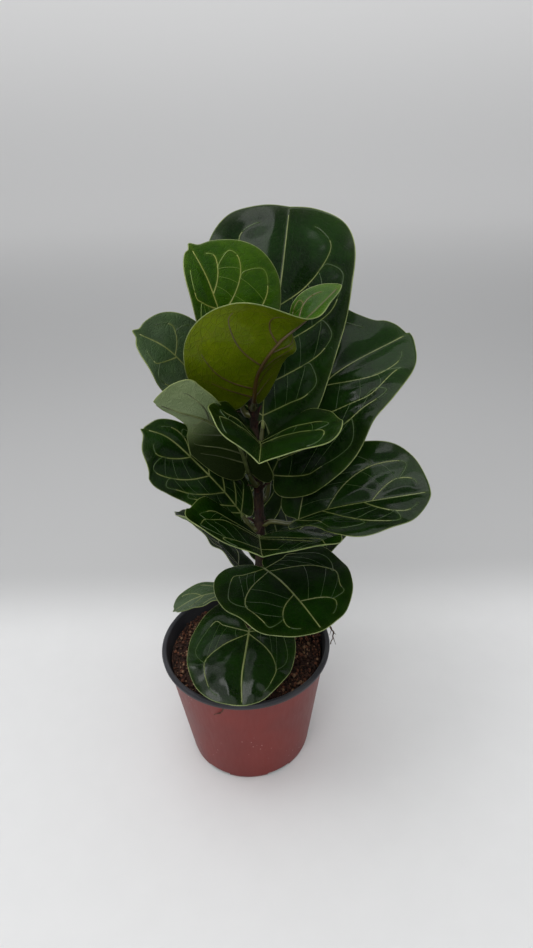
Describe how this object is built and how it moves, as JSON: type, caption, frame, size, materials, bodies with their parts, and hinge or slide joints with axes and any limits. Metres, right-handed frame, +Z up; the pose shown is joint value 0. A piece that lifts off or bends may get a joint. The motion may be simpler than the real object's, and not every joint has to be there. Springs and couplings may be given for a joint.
{
  "type": "potted fiddle leaf fig",
  "caption": "Young fiddle leaf fig with broad glossy leaves on a thin stem, growing in a tapered round plastic nursery pot.",
  "frame": {"origin": "centre of the flat underside of the pot", "axes": "+Z up along the pot's axis, -Y to the plant's front, +X to its right-hand side seen from the front"},
  "size_m": [0.2061, 0.198, 0.442],
  "materials": {
    "pot_plastic": "satin brownish-red polypropylene with a dark grey rim",
    "soil": "loose dark brown granules",
    "bark": "matt, thin young bark",
    "leaf_dark": "glossy, waxy, dark green with pale veins",
    "leaf_young": "glossy, waxy, yellow-green young leaf",
    "leaf_pale": "matt pale green underside",
    "dry_scale": "matt, dry, dark purple-brown",
    "root": "matt, dry fibre"
  },
  "bodies": {
    "root": {"pot": "pot_plastic", "soil": "soil", "stem": "bark", "leaf_front_lowest": "leaf_dark", "leaf_left_lowest": "leaf_dark", "leaf_left_under": "leaf_dark", "leaf_rear_low": "leaf_dark", "leaf_right_round": "leaf_dark", "leaf_rear_middle": "leaf_dark", "leaf_front_wide": "leaf_dark", "leaf_left_middle": "leaf_dark", "leaf_right_middle": "leaf_dark", "leaf_rear_upper": "leaf_dark", "leaf_right_upper": "leaf_dark", "leaf_left_pale": "leaf_pale", "leaf_front_folded": "leaf_dark", "leaf_left_upper": "leaf_dark", "leaf_top_back": "leaf_dark", "leaf_top_left": "leaf_young", "leaf_top_front": "leaf_young", "end_bud": "dry_scale", "bud_scale_1": "dry_scale", "bud_scale_2": "dry_scale", "bud_scale_3": "dry_scale", "bud_scale_4": "dry_scale", "rim_root": "root", "wall_fibre": "root"}
  },
  "joints": []
}
